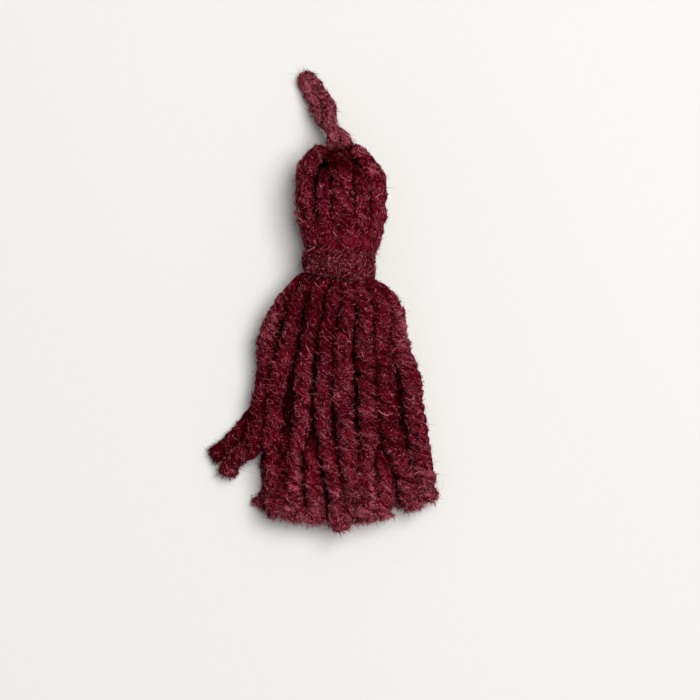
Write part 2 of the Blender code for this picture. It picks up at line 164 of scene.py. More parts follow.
# Outline of the head, from the skirt up to the dimple that the hanging loop comes out of:
# place along the tassel, half width, height of the middle, sideways shift.
HEAD = [
    (-7.6, 2.2, 8.9, -0.3), (-6.2, 4.2, 8.9, -0.2), (-4.4, 5.6, 8.9, 0), (0, 5.9, 8.9, 0),
    (3.2, 8.3, 8.9, 0), (4.7, 9, 9, 0), (6.6, 9.5, 9.1, 0), (10.4, 10.4, 9.2, 0),
    (14.6, 10.7, 9.2, 0), (18.4, 10.8, 9.2, 0), (22.2, 10.2, 9.2, -0.4), (25.1, 8.8, 9.2, -0.7),
    (27.4, 6.6, 9.2, -1.1), (28.4, 4.9, 9.2, -1), (28.1, 3.9, 9.2, -0.6), (26.4, 2.9, 9.2, -0.4),
    (24.4, 2.3, 9.2, -0.3),
]
HEAD_EQUATOR = 14.6
# The ribs: direction round the head in degrees (0 is to the right and 90 is up), half width,
# how far it reaches up the head, how far out its crest stands as a share of the outline, and
# how light its wool is drawn; the ribs at the left and right edges are drawn lighter as painted
# rim light.
Rib = namedtuple("Rib", "direction half top out tone")
RIBS = [
    Rib(*row)
    for row in (
        (2, 2.1, 28, 1, 1.17), (28, 2.1, 28.3, 1, 1), (57, 1.9, 24.6, 0.98, 0.92),
        (88, 2.35, 27.2, 1, 0.94), (116, 1.6, 22.8, 0.97, 0.92), (153, 2.3, 28.3, 1, 0.9),
        (182, 2.2, 27.8, 1, 1.5), (209, 2.2, 27.6, 0.98, 1.34), (236, 2.2, 27.8, 0.98, 1),
        (262, 2.2, 28, 1, 1.02), (289, 2.2, 27.6, 0.98, 0.98), (312, 2.2, 28, 1, 1),
        (337, 2.2, 27.8, 0.99, 1.12),
    )
]

USUAL_RIB_HALF = 2.1

BINDING_MIDDLE_RADIUS = 7.35
BINDING_SPACING = 2.35
BINDING_SHIFT = -0.6  # it sits a little to the left
BINDING_TURNS = (0.13, 1.87)  # turns round the neck, from underneath, where it starts and ends
BINDING_STEP = (0.86, 1.14)  # turns between which it steps over to its second course
BINDING_HALF_THICKNESS = 1.25

# Middle line of the hanging loop, from the dimple to the turn of the yarn, with the twist of
# its two legs in degrees at each point: 0 is side by side.
LOOP = [
    (-0.3, 27, 9.2, 182), (-0.8, 29.9, 9, 144), (-1.5, 31.4, 8.5, 102),
    (-2.4, 32.8, 7.8, 82), (-3.4, 35, 6.4, 48), (-4.8, 38.4, 4.2, 14),
    (-6.85, 42, 2.2, 0), (-8.1, 44.1, 1.55, 0),
]
LOOP_LEG_SPACING = 3.08

# Long pale hairs that lie loose on the yarn: points (x, y) of each
HAIRS = [
    [(-6.1, -3.9), (-4.6, -2.8)],
    [(-6.5, -4.3), (-5, -5.8)],
    [(-8.3, 2.8), (-7, 3.5), (-5.8, 4.4)],
    [(-6.5, 5.6), (-6.1, 4.5)],
    [(-1.9, 7.4), (-1, 6)],
    [(7.9, 15.6), (9, 16.2), (9.9, 16.8)],
    [(-8.6, -19), (-7.6, -20.8), (-6.7, -22.3)],
    [(8.4, -34.3), (9.6, -35.3), (11, -35.9), (12.1, -35)],
    [(-2.2, -31.9), (-1.4, -31), (0.5, -30)],
    [(4.9, -20.9), (5.3, -22.4)],
]
HAIR_POINTS = 8
HAIR_THICKNESS = 0.13
HAIR_REST, HAIR_ARCH = 0.12, 0.4  # height above the wool of a hair's ends, and more in its middle

# Grids of the yarns' surfaces: columns round a yarn, and the distance between its rings
UPPER_GRID, BETWEEN_GRID, UNDER_GRID, OUTER_GRID = (36, 0.42), (28, 0.55), (20, 0.9), (24, 0.7)
RIB_GRID, HIDDEN_RIB_GRID, BINDING_GRID, LOOP_GRID = (36, 0.45), (26, 0.45), (40, 0.45), (32, 0.35)

# Kinds of loose fibre: shortest and longest, how far one lifts off the yarn and swings away
# from its locks, its thickness as a share of a middling one's, how much lighter than the yarn
# it is drawn, a painted highlight of fibres that catch the light, and how much that varies at
# random, and the number of points along it
Fibres = namedtuple("Fibres", "reach lift spread width glow vary points")
LOCKS = Fibres((0.6, 1.6), 0.26, 0.62, 2.3, -0.15, 0.65, 3)
CROSSING = Fibres((0.7, 2.1), 0.32, 0.8, 1.25, 0, 0.8, 3)
LONG = Fibres((2.2, 5), 0.35, 1.1, 0.7, 0.45, 0.4, 5)
DOWN = Fibres((0.5, 1.4), 0.35, 1.1, 0.95, -0.05, 0.8, 2)
FELT = Fibres((1.2, 3), 0.3, 1.3, 0.9, 0.15, 0.6, 3)
FRAY = Fibres((0.7, 1.9), 0.45, 1.4, 1.05, 0.15, 0.7, 3)

# ---- Settings that a user would change


def length_setting(name, description, default, least, most):
    """A length, given in millimetres."""
    low, high = least * MM, most * MM
    return FloatProperty(
        name=name, description=description, default=default * MM, min=low, max=high, unit="LENGTH"
    )


def colour_setting(name, description, default):
    return FloatVectorProperty(
        name=name, description=description, default=default, min=0, max=1, subtype="COLOR"
    )


def share_setting(name, description, default):
    return FloatProperty(
        name=name, description=description, default=default, min=0, max=1, subtype="FACTOR"
    )


class TasselYarn(bpy.types.PropertyGroup):
    """Sizes of the yarns."""

    strand_half: length_setting(
        "Strand half width", "Half the width of a strand of the skirt across both plies", 2.17, 0.5, 4
    )
    strand_turn: length_setting(
        "Strand twist length", "Length of one full turn of a strand's two plies", 8.6, 3, 30
    )
    binding_half: length_setting(
        "Binding half width", "Half the width of the flattened yarn round the neck", 2.2, 0.5, 4
    )
    loop_half: length_setting(
        "Loop half width", "Half the width of the thinner yarn of the hanging loop", 1.5, 0.5, 3
    )


class TasselWool(bpy.types.PropertyGroup):
    """Colours of the dyed wool, and of its painted shade and painted highlight."""

    dye: colour_setting("Dye", "Colour of most of the wool", (0.157, 0.0026, 0.0122))
    # The deep colour below is mixed in for dark streaks at random and, where the tone is low, as painted
    # shade in the creases
    deep: colour_setting(
        "Deep", "Colour of the fibres that lie deep between the others", (0.023, 0.0001, 0.0008)
    )
    # The pale colour below is mixed in for pale fibres at random and, where the tone is high, as painted
    # highlight
    pale_and_highlight: colour_setting(
        "Bloom", "Colour of the palest fibres, where the dye took least", (0.60, 0.172, 0.222)
    )
    sheen: share_setting("Sheen", "How strongly the finest fibres catch light at grazing angles", 0.006)


class TasselNap(bpy.types.PropertyGroup):
    """The loose fibres that stand off the yarns."""

    density: share_setting("Density", "Share of the full number of loose fibres", 1.0)
    thickness: length_setting(
        "Fibre thickness", "Thickness of a middling loose fibre or small lock", 0.085, 0.02, 0.3
    )


class TasselStage(bpy.types.PropertyGroup):
    """The surface that the tassel lies on, the light and the camera."""

    floor: colour_setting("Floor", "Colour of the surface", (0.755, 0.755, 0.745))
    lamp: FloatProperty(
        name="Lamp",
        description="Power of the large soft lamp overhead",
        default=20.1, min=0, unit="POWER",
    )
    fill: FloatProperty(
        name="Fill",
        description="Strength of the even light from all round",
        default=0.24, min=0,
    )
    frame_width: length_setting("Frame width", "Width of surface that the camera takes in", 168, 50, 1000)


# ---- Lines

FINENESS = 40  # points on a route, or to a knot, before its line is drawn evenly
END_CLEAR = 2.0  # a knot nearer than this to a strand's cut end is left out
LIFT_START, LIFT_REACH = 8.0, 14.0  # a strand's lift begins this far below, and grows over this
WANDER_REACH = 6.0  # how far along a yarn its wander, and its width, change at random
WIDTH_REACH = 4.0

def put_in_place(points):
    """Points in millimetres from the middle of the neck, as metres in the frame of the solids:
    the binding's middle gives x and the head's top gives y."""
    low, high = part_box("neck_binding")
    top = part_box("yarn_bundle")[1][1]
    middle = np.array([(low[0] + high[0]) / 2, top - HEAD_TOP * MM, 0.0])
    return np.asarray(points) * MM + middle


def through(knots, values, at):
    """Values at the places at, on smooth cubics through the knots. The slope at a knot is the
    weighted mean of the slopes of its two spans."""
    knots, values = np.asarray(knots, float), np.asarray(values, float)
    flat = values.ndim == 1
    values = values.reshape(len(knots), -1)
    step = np.diff(knots)[:, None]
    span = np.diff(values, axis=0) / step
    inner = (span[:-1] * step[1:] + span[1:] * step[:-1]) / (step[1:] + step[:-1])
    slope = np.vstack([span[:1], inner, span[-1:]])
    i = np.clip(np.searchsorted(knots, at, side="right") - 1, 0, len(knots) - 2)
    h = step[i]
    t = ((np.asarray(at, float) - knots[i]) / h[:, 0])[:, None]
    made = (
        (2 * t**3 - 3 * t**2 + 1) * values[i]
        + (t**3 - 2 * t**2 + t) * h * slope[i]
        + (3 * t**2 - 2 * t**3) * values[i + 1]
        + (t**3 - t**2) * h * slope[i + 1]
    )
    return made[:, 0] if flat else made


def unit(vectors):
    return vectors / np.maximum(np.linalg.norm(vectors, axis=-1, keepdims=True), 1e-12)


def distance_along(points):
    return np.concatenate([[0], np.cumsum(np.linalg.norm(np.diff(points, axis=0), axis=1))])


def evenly(points, step):
    """A smooth line through the points, as points a step apart, and their distances along it."""
    points = np.asarray(points, float)
    rough = distance_along(points)
    fine = through(rough, points, np.linspace(0, rough[-1], FINENESS * len(points)))
    along = distance_along(fine)
    count = max(2, round(along[-1] / step) + 1)
    at = np.linspace(0, along[-1], count)
    return np.stack([np.interp(at, along, fine[:, k]) for k in range(3)], axis=1), at


def drift(rng, along, reach, width=1):
    """Smooth random values round 0 along a line: a normal value every reach, joined by smooth
    cubics, in as many independent columns as the width."""
    count = int(along[-1] / reach) + 3
    knots = np.arange(count) * reach
    made = through(knots, rng.normal(size=(count, width)), along)
    return made[:, 0] if width == 1 else made


def tilted(points):
    """Points near the neck, sheared so that the neck slopes with its binding."""
    points = np.array(points, float)
    fade = np.clip(1 - np.abs(points[..., 1]) / NECK_TILT_FADE, 0, 1)
    points[..., 1] -= NECK_TILT * points[..., 0] * fade
    return points


def mound_height(x, below):
    """Height of the mound: foot + (crown - foot) * (1 - u^2)^round, u being the place across it
    from -1 to 1."""
    rows = np.array(MOUND)
    shift, half, left, right, crown, power = through(rows[:, 0], rows[:, 1:], below).T
    u = np.clip((x - shift) / half, -1, 1)
    foot = left + (right - left) * (u + 1) / 2
    return foot + (crown - foot) * (1 - u * u) ** power


def placed_line(strand):
    """Places across and distances below the neck of one strand's middle line."""
    open_at, share = np.array(OPENING).T
    knots = np.concatenate([open_at, STATIONS, [strand.reach]])
    across = np.concatenate([share * strand.at_8, strand[:6], [strand.end]])
    keep = knots <= strand.reach
    keep[:-1] &= knots[:-1] < strand.reach - END_CLEAR
    below = np.linspace(knots[0], strand.reach, FINENESS)
    return through(knots[keep], across[keep], below), below


def over_route(strand, sunk=False):
    """A strand on the mound, or sunk between the upper ones."""
    across, below = placed_line(strand)
    rise = np.clip((below - LIFT_START) / LIFT_REACH, 0, 1)
    at, drop, _ = np.array(BETWEEN_DEPTH).T
    sink = np.interp(below, at, drop) if sunk else 0.0
    height = mound_height(across, np.maximum(below, MOUND[0][0])) + strand.lift * rise - sink
    return np.stack([across, -below, height], axis=1)


def under_height(below):
    at, height = np.array(UNDER_HEIGHT).T
    return np.where(below < at[-1], through(at, height, np.minimum(below, at[-1])), height[-1])


def under_route(place, reach):
    """A strand that sinks from the neck to the surface and runs level on it."""
    at, share = np.array(UNDER_OPENING).T
    below = np.linspace(at[0], reach, FINENESS)
    across = place * through(at, share, np.minimum(below, at[-1]))
    return np.stack([across, -below, under_height(below)], axis=1)


# ---- Surfaces

# A closed sheet of points (ring, column, xyz), with the yarn's own coordinates and its tone,
# which holds the wool's own lightness and the painted light and shade
Sheet = namedtuple("Sheet", "points lay tone")

FIBRE_LEAN = 0.55  # a fibre turns round the yarn less than its ply, by this share
# A ply of the yarn: an ellipse beside the middle line, in shares of the yarn's half width
PLY_MIDDLE, PLY_RADIAL, PLY_TANGENTIAL = 0.27, 0.69, 0.86
# How often the yarn's twist, locks, lumps and flecks change at random along it, in millimetres
TWIST_REACH, LOCK_REACH, LUMP_REACH, FLECK_REACH = 7.0, 1.4, 1.6, 0.75
TWIST_CHANGE, LUMP_RELIEF, LUMPS = 0.20, 0.09, 6
FLARE_REACH = 5.0
END_ROUNDING, END_SHARE = 1.1, 0.30  # the ends are rounded in over this, to this share
TOUCHING = -0.3  # the gap between two yarns that press on each other


def leaned(rows, turns):
    """Each row of values round a yarn, moved round it by its number of turns."""
    columns = rows.shape[1]
    at = np.arange(columns) + (turns[:, None] % 1.0) * columns
    low = np.floor(at).astype(int)
    share = at - low
    first = np.take_along_axis(rows, low % columns, axis=1)
    return first + share * (np.take_along_axis(rows, (low + 1) % columns, axis=1) - first)


def ply_outline(angle):
    """Radius of the outline of two plies side by side, at the angles: the far crossing of a ray
    with the ellipse of the nearer ply, as a share of the greatest."""
    c, s = np.abs(np.cos(angle)), np.sin(angle)
    a = (c / PLY_RADIAL) ** 2 + (s / PLY_TANGENTIAL) ** 2
    b = PLY_MIDDLE * c / PLY_RADIAL**2
    rest = (PLY_MIDDLE / PLY_RADIAL) ** 2 - 1
    return (b + np.sqrt(b * b - a * rest)) / a / (PLY_MIDDLE + PLY_RADIAL)


def yarn_sheet(
    line, side, half_side, half_out, rng, turn, pitch, columns, tone, relief=0.11, flare=0.0, depth=1.0
):
    """A two-ply yarn along a line. A point stands half * radius from the middle line, at the
    angle 2 pi (turn + distance / pitch) + its own place round the yarn, so that a column of
    points follows one lock of fibres left-handed round the yarn. The radius is the outline of
    two plies, and each lock stands a little proud or low. The ends are rounded in."""
    along = distance_along(line)
    forward = unit(np.gradient(line, axis=0))
    side = np.broadcast_to(side, line.shape)
    side = unit(side - (side * forward).sum(1)[:, None] * forward)
    out = np.cross(side, forward)
    place = 2 * math.pi * np.arange(columns) / columns
    pace = 1 / (pitch * (1 + TWIST_CHANGE * np.tanh(drift(rng, along, TWIST_REACH))))
    turned = turn + np.concatenate([[0], np.cumsum((pace[1:] + pace[:-1]) / 2 * np.diff(along))])
    angle = 2 * math.pi * turned[:, None] + place
    lean = FIBRE_LEAN * turned
    lock = leaned(drift(rng, along, LOCK_REACH, columns), lean)
    lock = 0.5 * lock + 0.25 * np.roll(lock, 1, axis=1) + 0.25 * np.roll(lock, -1, axis=1)
    lump = drift(rng, along, LUMP_REACH, LUMPS)[:, np.arange(columns) * LUMPS // columns]
    lump = (lump + np.roll(lump, columns // 12, axis=1) + np.roll(lump, -columns // 12, axis=1)) / 3
    outline = 1 - depth * (1 - ply_outline(place))
    radius = outline * (1 + relief * lock + LUMP_RELIEF * lump)
    flared = np.clip((along - along[-1] + FLARE_REACH) / FLARE_REACH, 0, 1)[:, None]
    radius *= 1 + flare * flared**2
    end = np.clip(np.minimum(along, along[-1] - along) / END_ROUNDING, 0, 1)
    radius *= (END_SHARE + (1 - END_SHARE) * np.sqrt(1 - (1 - end) ** 2))[:, None]
    across = (half_side[:, None] * radius * np.cos(angle))[..., None] * side[:, None]
    upward = (half_out[:, None] * radius * np.sin(angle))[..., None] * out[:, None]
    points = line[:, None] + across + upward
    points[..., 2] = np.maximum(points[..., 2], 0.0)
    size = half_side.mean()
    laid = place + 2 * math.pi * lean[:, None]
    lengthwise = np.broadcast_to((0.42 * along + rng.uniform(0, 400))[:, None], radius.shape)
    lay = np.stack([size * np.cos(laid), size * np.sin(laid), lengthwise], axis=-1)
    groove = np.clip((outline - 0.80) / 0.15, 0, 1)
    fleck = leaned(drift(rng, along, FLECK_REACH, columns), lean)
    # painted shade: low locks and lumps are drawn darker and proud ones lighter, and the grooves between
    # the plies darker; the flecks vary the tone at random
    shade = 1 + 0.20 * np.clip(lock, -2, 2) + 0.08 * np.clip(lump, -2, 2)
    shade += 0.26 * np.clip(fleck, -2, 2)
    shade *= tone * (0.50 + 0.50 * groove)
    return Sheet(points, lay, shade)


def crease_shaded(sheets, reach=1.7, least=0.40):
    """The sheets with painted shade in the creases: a point's tone falls from its own, where the
    nearest other yarn is the reach away, to the least share of it where the two touch. A yarn
    is taken as balls along its middle line."""
    middles = [s.points.mean(axis=1, keepdims=True) for s in sheets]
    sizes = [
        np.linalg.norm(s.points - middle, axis=2).mean(axis=1)[::2]
        for s, middle in zip(sheets, middles)
    ]
    middles = [middle[::2, 0] for middle in middles]
    made = []
    for i, sheet in enumerate(sheets):
        near = np.concatenate(middles[:i] + middles[i + 1 :])
        size = np.concatenate(sizes[:i] + sizes[i + 1 :])
        flat = sheet.points.reshape(-1, 3)
        squared = (flat**2).sum(1)[:, None] + (near**2).sum(1) - 2 * flat @ near.T
        gap = (np.sqrt(np.maximum(squared, 0)) - size).min(axis=1)
        share = np.interp(gap, [TOUCHING, reach], [least, 1.0]).reshape(sheet.tone.shape)
        made.append(sheet._replace(tone=sheet.tone * share))
    return made


def part_of(sheet, rings):
    """Some of a sheet's rings."""
    return sheet._replace(points=sheet.points[rings], tone=sheet.tone[rings])


def up_side(line):
    """The level axis across a line."""
    return unit(np.cross(np.gradient(line, axis=0), [0.0, 0.0, 1.0]))


def linked(name, data):
    """A new object in the scene."""
    made = bpy.data.objects.new(name, data)
    bpy.context.scene.collection.objects.link(made)
    return made


class Piece:
    """Gathers closed sheets and hairs, and makes them one object."""

    def __init__(self):
        self.parts, self.count = [], 0

    def take(self, points, lay, tone, quads, triangles):
        self.parts.append((points, lay, tone, quads + self.count, triangles + self.count))
        self.count += len(points)

    def add_sheet(self, sheet):
        """Walls between neighbouring rings, and a fan to a middle point at each end."""
        rings, columns = sheet.tone.shape
        at = np.arange(rings * columns).reshape(rings, columns)
        by = np.roll(at, -1, axis=1)
        quads = np.stack([at[:-1], at[1:], by[1:], by[:-1]], -1).reshape(-1, 4)
        first, last = at.size, at.size + 1
        fans = [(first, *pair) for pair in zip(at[0], by[0])]
        fans += [(last, *pair) for pair in zip(by[-1], at[-1])]
        values = [
            np.concatenate([part.reshape(first, *part.shape[2:]), [part[0].mean(0), part[-1].mean(0)]])
            for part in sheet
        ]
        self.take(*values, quads, np.array(fans))

    def add_hairs(self, paths, thickness, tone, rng):
        """Three-sided hairs along paths (hair, point, xyz): a ring of three points at each inner
        point of the path, drawn to a point at both ends. A path of two points has one ring, at
        its root."""
        hairs, steps = paths.shape[:2]
        straight = steps == 2
        forward = unit(np.gradient(paths, axis=1))
        u = unit(np.cross(forward, unit(rng.normal(size=(hairs, 1, 3)))))
        v = np.cross(forward, u)
        ringed = slice(0 if straight else 1, steps - 1)
        angle = 2 * math.pi * np.arange(3) / 3
        ring = np.cos(angle)[:, None] * u[:, ringed, None] + np.sin(angle)[:, None] * v[:, ringed, None]
        rings = ring.shape[1]
        taper = np.linspace(1.0, 0.45, max(rings, 2))[None, :rings, None, None]
        radius = (0.5 if straight else 0.54) * thickness[:, None, None, None]
        body = paths[:, ringed, None] + radius * taper * ring
        ends = paths[:, -1:] if straight else paths[:, [0, -1]]
        points = np.concatenate([body.reshape(hairs, -1, 3), ends], axis=1)
        points[..., 2] = np.maximum(points[..., 2], 0.0)
        each = points.shape[1]
        j = np.arange(3)
        k = (j + 1) % 3
        level = 3 * np.arange(rings - 1)[:, None]
        quads = np.stack([level + j, level + k, level + 3 + k, level + 3 + j], -1).reshape(-1, 4)
        far = 3 * (rings - 1)
        root = [[2, 1, 0]] if straight else np.stack([k, j, 0 * j + each - 2], -1)
        triangles = np.vstack([root, np.stack([far + j, far + k, 0 * j + each - 1], -1)])
        start = each * np.arange(hairs)[:, None, None]
        lay = rng.uniform(0, 300, size=(hairs, 1, 3)) + 0.0 * points
        lay[..., 2] += np.linspace(0, 0.5, each)[None]
        faces = [(part + start).reshape(-1, part.shape[1]) for part in (quads, triangles)]
        self.take(points.reshape(-1, 3), lay.reshape(-1, 3), np.repeat(tone, each), *faces)

    def make(self, name, material, slot, nodes=()):
        """The object, in place, riding on the root body."""
        points, lay, tone, quads, triangles = map(np.concatenate, zip(*self.parts))
        mesh = bpy.data.meshes.new(name)
        faces = [*quads.tolist(), *triangles.tolist()]
        mesh.from_pydata(put_in_place(points), [], faces, shade_flat=False)
        places = mesh.attributes.new("lay", "FLOAT_VECTOR", "POINT")
        places.data.foreach_set("vector", lay.ravel().astype(np.float32))
        tones = mesh.attributes.new("tone", "FLOAT", "POINT")
        tones.data.foreach_set("value", tone.astype(np.float32))
        if mesh.validate():
            raise RuntimeError(f"{name} has broken faces")
        mesh.materials.append(material)
        made = linked(name, mesh)
        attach(made, "root")
        if nodes:
            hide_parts(*nodes)


ROOT_SCATTER, ROOT_DEPTH = 0.10, 0.08
FIBRE_BEARING, FIBRE_SWERVE = -0.52, 0.60  # a fibre's usual angle to its lock, and its bend
UNDERSIDE_SHARE = 0.20  # of the fibres that wool on the upper side has


def joined(parts):
    """Arrays of vectors as one list of them."""
    return np.concatenate([part.reshape(-1, 3) for part in parts])


def add_nap(piece, sheets, count, rng, nap, kind):
    """Loose fibres on the yarns. Each is rooted at a point of a sheet, oftener on the upper
    side, and runs along the lock for its length, swerving by the spread, while it rises by the
    lift and bows back: root + length (t along + swerve t^2 across + (rise t - bow t^2) out)."""
    count = int(count * nap.density)
    points = joined(s.points for s in sheets)
    to_ring = joined(np.gradient(s.points, axis=0) for s in sheets)
    to_column = joined(np.roll(s.points, -1, axis=1) - s.points for s in sheets)
    to_next = joined(np.roll(s.points, -1, axis=1) - np.roll(s.points, 1, axis=1) for s in sheets)
    shade = np.concatenate([s.tone.ravel() for s in sheets])
    area = np.linalg.norm(to_ring, axis=-1) * np.linalg.norm(to_column, axis=-1)
    along, round_it = unit(to_ring), unit(to_next)
    out = unit(np.cross(along, round_it))
    weight = area * (UNDERSIDE_SHARE + np.clip(out[:, 2] + 0.25, 0, 1))
    weight = weight * (points[:, 2] > 0.05) * np.clip(shade, 0.3, 1.0)
    pick = rng.choice(len(points), size=count, p=weight / weight.sum())
    root = points[pick] + rng.normal(scale=ROOT_SCATTER, size=(count, 3))
    n, t, b = out[pick], along[pick], round_it[pick]
    each = (count, 1)
    way = rng.choice([-1.0, 1.0], size=each)
    bearing = rng.normal(FIBRE_BEARING, kind.spread, size=each)
    heading = way * (np.cos(bearing) * t + np.sin(bearing) * b)
    across = np.cross(n, heading)
    length = rng.uniform(*kind.reach, size=each) * rng.uniform(0.6, 1.0, size=each)
    rise = np.abs(rng.normal(scale=kind.lift, size=each)) + 0.05
    bow = rise * rng.uniform(0.3, 1.25, size=each)
    swerve = rng.normal(scale=FIBRE_SWERVE, size=each)
    start = root - ROOT_DEPTH * n
    paths = [
        start + length * (s * heading + swerve * s * s * across + (rise * s - bow * s * s) * n)
        for s in np.linspace(0, 1, kind.points)
    ]
    thickness = kind.width * nap.thickness / MM * rng.lognormal(0, 0.30, size=count)
    tone = shade[pick] * rng.lognormal(kind.glow, kind.vary, size=count)
    piece.add_hairs(np.stack(paths, axis=1), thickness, tone, rng)


def loosened(kind, loose):
    return kind._replace(lift=kind.lift * loose)


def coat(sheets, count, loose=1.0):
    """The longer nap of some yarns, as beds of fibres: small locks that lie close, fibres that
    cross them, and a few long ones that stand off."""
    kinds = [(LOCKS, 0.42), (loosened(CROSSING, loose), 0.555), (loosened(LONG, loose), 0.025)]
    return [(sheets, int(share * count), kind) for kind, share in kinds]


class Workshop:
    """Makes pieces of one wool, with one source of random numbers."""

    def __init__(self, context, seed, finish, slot):
        self.rng = np.random.default_rng(seed)
        self.yarn, self.nap = context.scene.tassel_yarn, context.scene.tassel_nap
        self.finish = wool(finish, context.scene.tassel_wool)
        self.slot = slot

    def yarns(self, name, sheets, nodes=()):
        piece = Piece()
        for sheet in sheets:
            piece.add_sheet(sheet)
        piece.make(name, self.finish, self.slot, nodes)

    def fibres(self, name, beds, piece=None):
        """Loose fibres: for each bed, the yarns, the number and the kind of them."""
        piece = piece or Piece()
        for sheets, count, kind in beds:
            add_nap(piece, sheets, count, self.rng, self.nap, kind)
        piece.make(name, self.finish, self.slot)


FRAYED = slice(-8, -1)  # the rings of a strand in which its frayed end is rooted


def add_tips(piece, sheets, each, rng, nap):
    """The frayed cut end of each strand: fibres rooted in its last rings, which run on past
    the end and spread like a brush."""
    each = int(each * nap.density)
    for sheet in sheets:
        rings = sheet.points[FRAYED]
        middle = sheet.points.mean(axis=1)
        forward = unit(middle[-3] - middle[-9])
        pick_ring = rng.integers(0, len(rings), each)
        pick_column = rng.integers(0, rings.shape[1], each)
        rim = rings[pick_ring, pick_column]
        core = middle[FRAYED][pick_ring]
        inward = rng.uniform(0.05, 1.0, size=(each, 1)) ** 0.5
        root = core + inward * (rim - core)
        away = unit(rim - core)
        length = rng.uniform(0.5, 1.6, size=(each, 1))
        opened = rng.normal(0.22, 0.25, size=(each, 1))
        bend = rng.normal(scale=0.30, size=(each, 3))
        paths = [
            root + length * (s * forward + opened * s * away + s * s * bend)
            for s in np.linspace(0, 1, 3)
        ]
        thickness = nap.thickness / MM * 1.3 * rng.lognormal(0, 0.4, size=each)
        # painted light: the frayed fibres are drawn paler than the strand's end
        tone = sheet.tone[FRAYED].mean() * rng.lognormal(0.50, 0.40, size=each)
        piece.add_hairs(np.stack(paths, axis=1), thickness, tone, rng)


# ---- Wool

# Noise: how fine it is, its detail and its roughness
STREAK = (1.9, 3.0, 0.62)
FIBRE = (5.5, 2.0, 0.6)
PATCH = (260.0, 2.0, 0.5)
PAPER = (900.0, 3.0, 0.6)


class Value:
    """A node's output. Arithmetic on it adds Math nodes."""

    def __init__(self, shader, socket):
        self.shader = shader
        self.socket = socket

    def __add__(self, other):
        return self.shader.math("ADD", self, other)

    def __sub__(self, other):
        return self.shader.math("SUBTRACT", self, other)

    def __mul__(self, other):
        return self.shader.math("MULTIPLY", self, other)

    __radd__ = __add__
    __rmul__ = __mul__


class Shader:
    """A material under construction."""

    def __init__(self, name):
        self.material = bpy.data.materials.new(name)
        self.material.use_nodes = True
        self.tree = self.material.node_tree

    def node(self, kind, settings, inputs, output=0):
        """One node: its settings first, then its sockets, by name or by number."""
        made = self.tree.nodes.new(kind)
        for name, value in settings.items():
            setattr(made, name, value)
        for key, value in inputs.items():
            self.feed(made.inputs[key], value)
        return Value(self, made.outputs[output])

    def feed(self, socket, value):
        if isinstance(value, Value):
            self.tree.links.new(value.socket, socket)
        else:
            socket.default_value = value

    def surfaced(self, inputs):
        """The material, with its surface's sockets fed."""
        for name, value in inputs.items():
            self.feed(self.tree.nodes["Principled BSDF"].inputs[name], value)
        return self.material

    def math(self, operation, *values):
        return self.node("ShaderNodeMath", {"operation": operation}, dict(enumerate(values)))

    def noise(self, vector, scale, detail, roughness):
        inputs = {"Vector": vector, "Scale": scale, "Detail": detail, "Roughness": roughness}
        return self.node("ShaderNodeTexNoise", {"noise_dimensions": "3D"}, inputs)

    def between(self, value, low, high):
        """0 below low, 1 above high."""
        inputs = {"Value": value, "From Min": low, "From Max": high}
        return self.node("ShaderNodeMapRange", {"clamp": True}, inputs)

    def mix(self, share, first, second):
        settings = {"data_type": "RGBA", "blend_type": "MIX", "clamp_factor": True}
        return self.node("ShaderNodeMix", settings, {0: share, 6: first, 7: second}, output=2)


def wool(name, colours, shade=1.0):
    """Matt dyed wool. Streaks of noise drawn out along the locks mix the deep colour, the dye and the
    pale colour, and raise the surface; slow noise varies the dye. The tone attribute carries
    painted light and shade: where it is low the deep colour is mixed in as painted shade, where it
    is high the pale colour is mixed in as painted highlight, and the colour is scaled by it."""
    shader = Shader(name)
    lay = shader.node("ShaderNodeAttribute", {"attribute_name": "lay"}, {}, output=1)
    tone = shader.node("ShaderNodeAttribute", {"attribute_name": "tone"}, {}, output=2)
    place = shader.node("ShaderNodeTexCoord", {}, {}, output=3)
    streak = shader.noise(lay, *STREAK)
    hair = shader.noise(lay, *FIBRE)
    patch = shader.noise(place, *PATCH)
    # painted shade: where the tone is low, the deep colour is mixed in and the pale one left out
    open_to_light = shader.between(tone, 0.25, 0.85)
    body = shader.between(streak + 0.35 * (hair - 0.5) + 0.25 * (patch - 0.5), 0.34, 0.58)
    pale = shader.between(hair + 0.5 * (streak - 0.5), 0.58, 0.82) * open_to_light
    # painted highlight: where the tone is high, the pale colour is mixed in
    pale = pale + shader.between(tone, 1.1, 2.1)
    deep, dye, pale_and_highlight = ([*c, 1.0] for c in (colours.deep, colours.dye, colours.pale_and_highlight))
    colour = shader.mix(0.66 * pale, shader.mix(body * open_to_light, deep, dye), pale_and_highlight)
    # painted light and shade: the colour is scaled by the tone
    strength = shade * (0.5 + 0.5 * shader.math("MINIMUM", tone, 1.8))
    lit = shader.node("ShaderNodeVectorMath", {"operation": "SCALE"}, {0: colour, "Scale": strength})
    height = {"Strength": 0.9, "Distance": 0.4 * MM, "Height": 0.65 * streak + 0.35 * hair}
    sockets = {
        "Base Color": lit,
        "Roughness": 0.86 + 0.12 * streak,
        "Normal": shader.node("ShaderNodeBump", {}, height),
        "Specular IOR Level": 0.0,
        "Sheen Weight": colours.sheen,
        "Sheen Roughness": 0.55,
        "Sheen Tint": (1.0, 0.50, 0.55, 1.0),
    }
    return shader.surfaced(sockets)


# ---- Pieces


